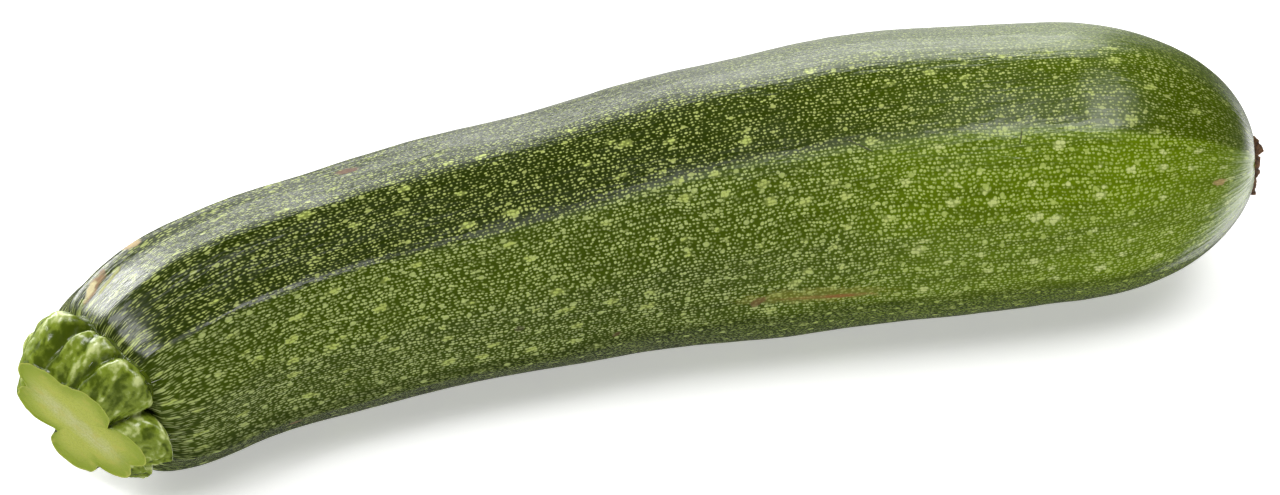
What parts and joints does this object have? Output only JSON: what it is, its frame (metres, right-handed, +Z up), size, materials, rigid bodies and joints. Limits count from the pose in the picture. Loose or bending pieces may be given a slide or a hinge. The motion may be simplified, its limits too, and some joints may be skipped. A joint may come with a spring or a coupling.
{
  "type": "courgette",
  "caption": "Fresh green courgette, gently bowed and faintly ribbed, with a lobed cut stem stub and a small dry blossom scar, lying on its side.",
  "frame": {"origin": "bottom centre of the whole part's box, on the surface the courgette lies on", "axes": "+X runs along the fruit from the stem to the blossom end, +Z is up, and the bow's hollow side faces -Y"},
  "size_m": [0.195, 0.0488, 0.0446],
  "materials": {
    "skin": "waxy dark green skin, going yellow-green below and towards the blossom end, with fine pale specks in rows",
    "stem_skin": "light green, veined and slightly hairy, with a pale moist knife cut",
    "dry_crust": "dull brown dry crust"
  },
  "bodies": {
    "root": {"fruit": "skin", "stem": "stem_skin", "blossom_scar": "dry_crust"}
  },
  "joints": []
}
